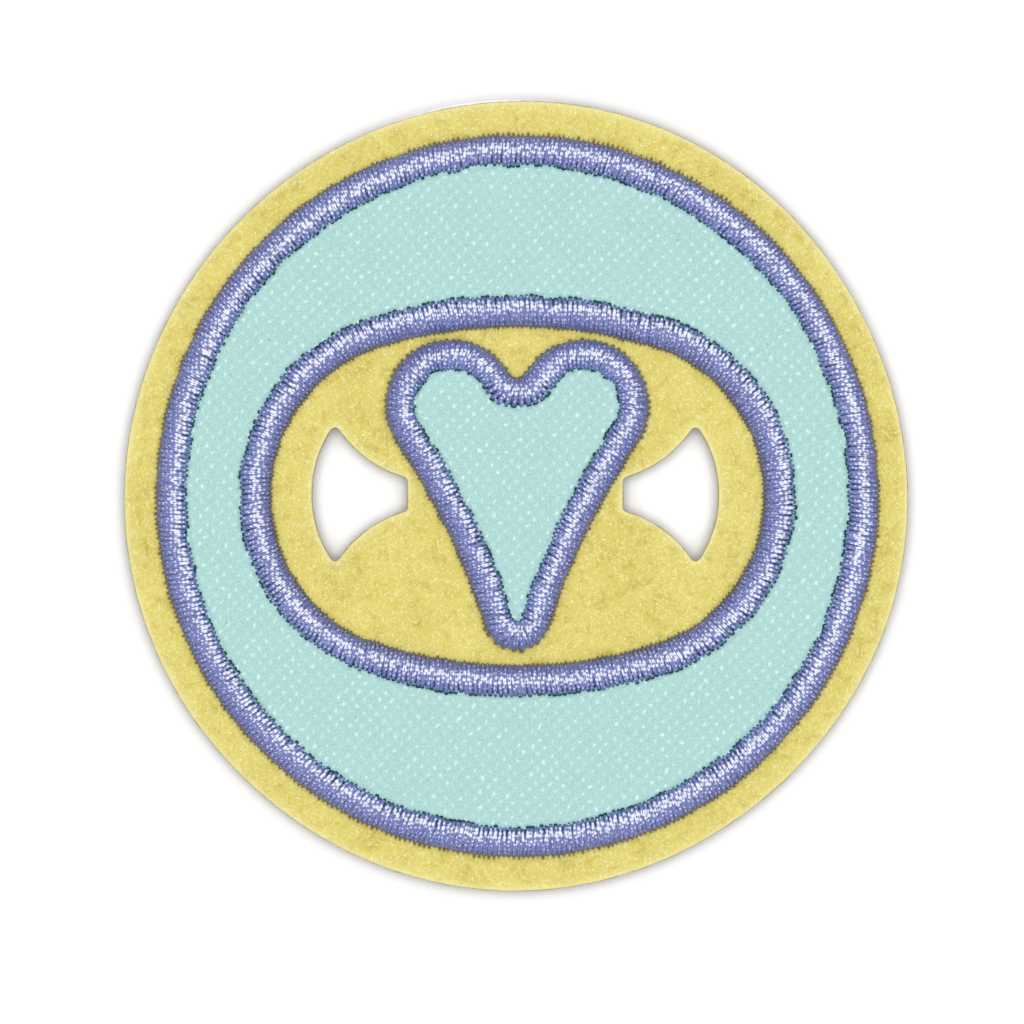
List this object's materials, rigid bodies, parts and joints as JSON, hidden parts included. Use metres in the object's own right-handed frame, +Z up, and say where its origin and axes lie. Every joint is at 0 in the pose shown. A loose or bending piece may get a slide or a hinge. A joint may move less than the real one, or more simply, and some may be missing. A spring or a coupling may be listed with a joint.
{
  "type": "round felt sticker patch",
  "caption": "Round felt sticker patch with a coated fabric ring, an oval window holding a heart, satin-stitch cords round every edge, two cut-outs and a backing sheet.",
  "frame": {"origin": "middle of the felt disc's outline, on the surface that the backing sheet lies on", "axes": "+Z up through the layers, towards the stitched face; +X along the long way of the oval window; +Y towards the top of the heart"},
  "size_m": [0.0763, 0.0764, 0.0033],
  "materials": {
    "backing": "smooth white release paper",
    "felt": "matt pale yellow felt with loose fibres",
    "coated_fabric": "mint coated fabric with a fine embossed weave, half matt",
    "thread": "shiny periwinkle embroidery thread in satin stitch"
  },
  "bodies": {
    "root": {"backing_sheet": "backing", "felt_base": "felt", "ring_panel": "coated_fabric", "motif_panel": "coated_fabric", "ring_stitch": "thread", "oval_stitch": "thread", "motif_stitch": "thread"}
  },
  "joints": []
}
